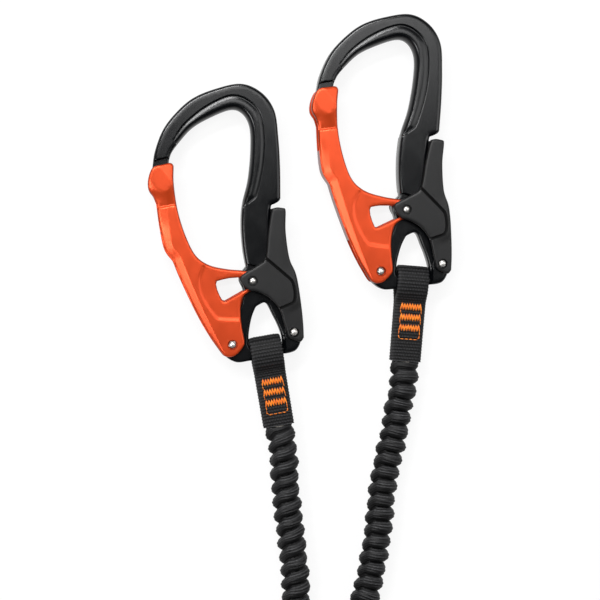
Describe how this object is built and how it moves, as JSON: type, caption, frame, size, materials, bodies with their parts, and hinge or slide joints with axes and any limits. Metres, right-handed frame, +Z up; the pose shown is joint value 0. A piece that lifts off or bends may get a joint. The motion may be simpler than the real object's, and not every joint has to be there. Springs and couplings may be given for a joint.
{
  "type": "via ferrata lanyard",
  "caption": "Y-shaped climbing lanyard: gated palm-squeeze carabiners on gathered elastic arms, with a tear-webbing absorber in a pouch and a tie-in loop.",
  "frame": {"origin": "on the floor under the middle of the box of everything but the two free arms", "axes": "+Y runs from the pouch to the carabiners, +Z is up from the floor that the lanyard lies on"},
  "size_m": [0.162, 0.5391, 0.0359],
  "materials": {
    "anodised": "satin black anodised aluminium, paler at the edges",
    "orange": "satin orange anodised aluminium",
    "grey": "matte dark grey, fine grain",
    "steel": "bright steel",
    "webbing": "black woven webbing",
    "thread": "orange sewing thread",
    "rubber": "natural rubber strands",
    "cloth": "black pack cloth"
  },
  "bodies": {
    "root": {"left_frame": "anodised", "left_gate_rivet": "steel", "left_lever_rivet": "steel", "left_gate_spring": "steel", "left_lever_spring": "steel", "left_strap": "webbing", "left_strap_stitches": "thread", "left_sleeve": "webbing", "left_core": "rubber", "left_end_strap": "webbing", "left_end_stitches": "thread", "right_frame": "anodised", "right_gate_rivet": "steel", "right_lever_rivet": "steel", "right_gate_spring": "steel", "right_lever_spring": "steel", "right_strap": "webbing", "right_strap_stitches": "thread", "right_sleeve": "webbing", "right_core": "rubber", "right_end_strap": "webbing", "right_end_stitches": "thread", "pouch": "cloth", "absorber": "webbing", "zip_tape": "cloth", "tie_in_loop": "webbing", "tie_in_stitches": "thread"},
    "left_gate": {"left_gate": "orange"},
    "left_lever": {"left_lever": "grey", "left_lock_pin": "steel"},
    "right_gate": {"right_gate": "orange"},
    "right_lever": {"right_lever": "grey", "right_lock_pin": "steel"},
    "zip_slider": {"zip_slider": "steel"},
    "zip_pull": {"zip_pull": "grey"}
  },
  "joints": [
    {"name": "left_gate_pivot", "type": "hinge", "parent": "root", "child": "left_gate", "pos_m": [-0.04333, 0.09518, 0.0077], "axis": [0, 0, 1], "range_deg": [-22.5, 0], "stiffness_Nm_per_rad": 0.03, "springref_deg": 17.19, "deforming": ["left_gate_spring"]},
    {"name": "left_lever_pivot", "type": "hinge", "parent": "root", "child": "left_lever", "pos_m": [-0.01494, 0.10096, 0.0077], "axis": [0, 0, 1], "range_deg": [0, 4.5], "stiffness_Nm_per_rad": 0.1, "springref_deg": -11.46, "deforming": ["left_lever_spring"]},
    {"name": "right_gate_pivot", "type": "hinge", "parent": "root", "child": "right_gate", "pos_m": [0.02586, 0.12888, 0.0077], "axis": [0, 0, 1], "range_deg": [-22.5, 0], "stiffness_Nm_per_rad": 0.03, "springref_deg": 17.19, "deforming": ["right_gate_spring"]},
    {"name": "right_lever_pivot", "type": "hinge", "parent": "root", "child": "right_lever", "pos_m": [0.05463, 0.13242, 0.0077], "axis": [0, 0, 1], "range_deg": [0, 4.5], "stiffness_Nm_per_rad": 0.1, "springref_deg": -11.46, "deforming": ["right_lever_spring"]},
    {"name": "zip_slide", "type": "slide", "parent": "root", "child": "zip_slider", "axis": [0, 1, 0], "range_m": [0, 0.069]},
    {"name": "zip_pull_swing", "type": "hinge", "parent": "zip_slider", "child": "zip_pull", "pos_m": [0.04997, -0.14002, 0.0342], "axis": [1, 0, 0], "range_deg": [0, 170]}
  ],
  "couplings": [
    {"joint": "left_lever_pivot", "follows": "left_gate_pivot", "ratio": -0.2},
    {"joint": "right_lever_pivot", "follows": "right_gate_pivot", "ratio": -0.2}
  ]
}
